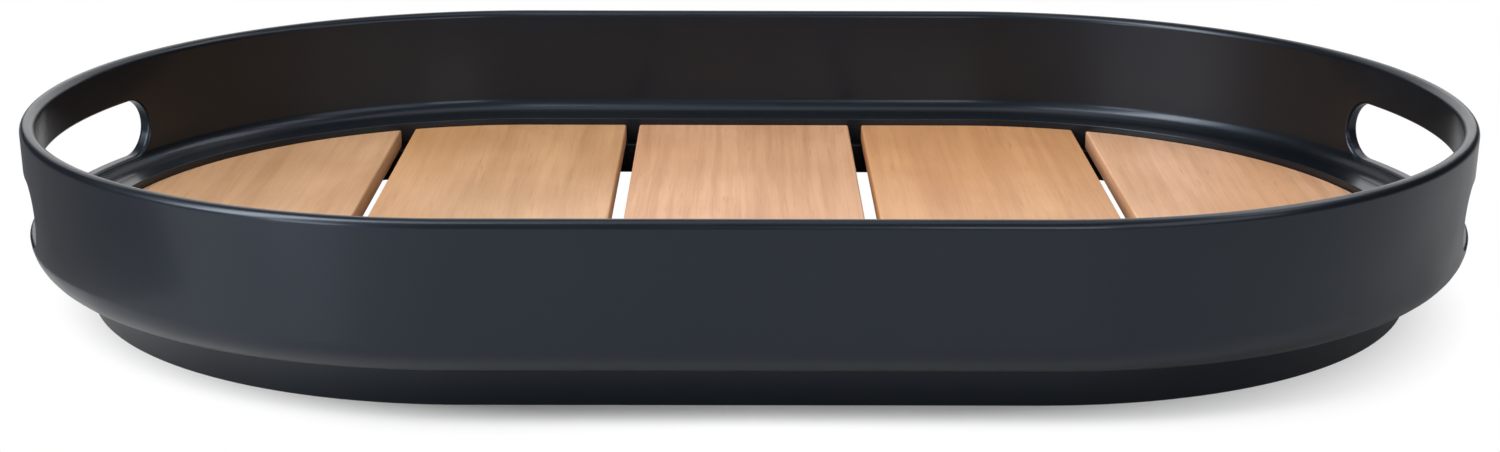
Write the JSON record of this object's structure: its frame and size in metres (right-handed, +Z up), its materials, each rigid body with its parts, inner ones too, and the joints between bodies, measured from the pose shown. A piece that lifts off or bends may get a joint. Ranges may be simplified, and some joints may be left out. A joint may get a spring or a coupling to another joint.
{
  "type": "serving tray",
  "caption": "Oblong serving tray with round ends: a dark moulded rim and foot with hand slots in the end walls, and a floor of light wooden slats with open gaps.",
  "frame": {"origin": "on the table, under the middle of the tray", "axes": "+X along the tray from hand slot to hand slot, +Y across it along the slats, +Z up"},
  "size_m": [0.4998, 0.3248, 0.0634],
  "materials": {
    "body": "satin anthracite, finely textured",
    "slats": "light fine-grained wood, oiled, grain along each slat",
    "screws": "zinc plated"
  },
  "bodies": {
    "root": {"tray_body": "body", "end_slat_left": "slats", "slat_left": "slats", "middle_slat": "slats", "slat_right": "slats", "end_slat_right": "slats", "end_slat_left_screw_1": "screws", "end_slat_left_screw_2": "screws", "end_slat_left_screw_3": "screws", "end_slat_left_screw_4": "screws", "slat_left_screw_1": "screws", "slat_left_screw_2": "screws", "slat_left_screw_3": "screws", "slat_left_screw_4": "screws", "middle_slat_screw_1": "screws", "middle_slat_screw_2": "screws", "middle_slat_screw_3": "screws", "middle_slat_screw_4": "screws", "slat_right_screw_1": "screws", "slat_right_screw_2": "screws", "slat_right_screw_3": "screws", "slat_right_screw_4": "screws", "end_slat_right_screw_1": "screws", "end_slat_right_screw_2": "screws", "end_slat_right_screw_3": "screws", "end_slat_right_screw_4": "screws"}
  },
  "joints": []
}
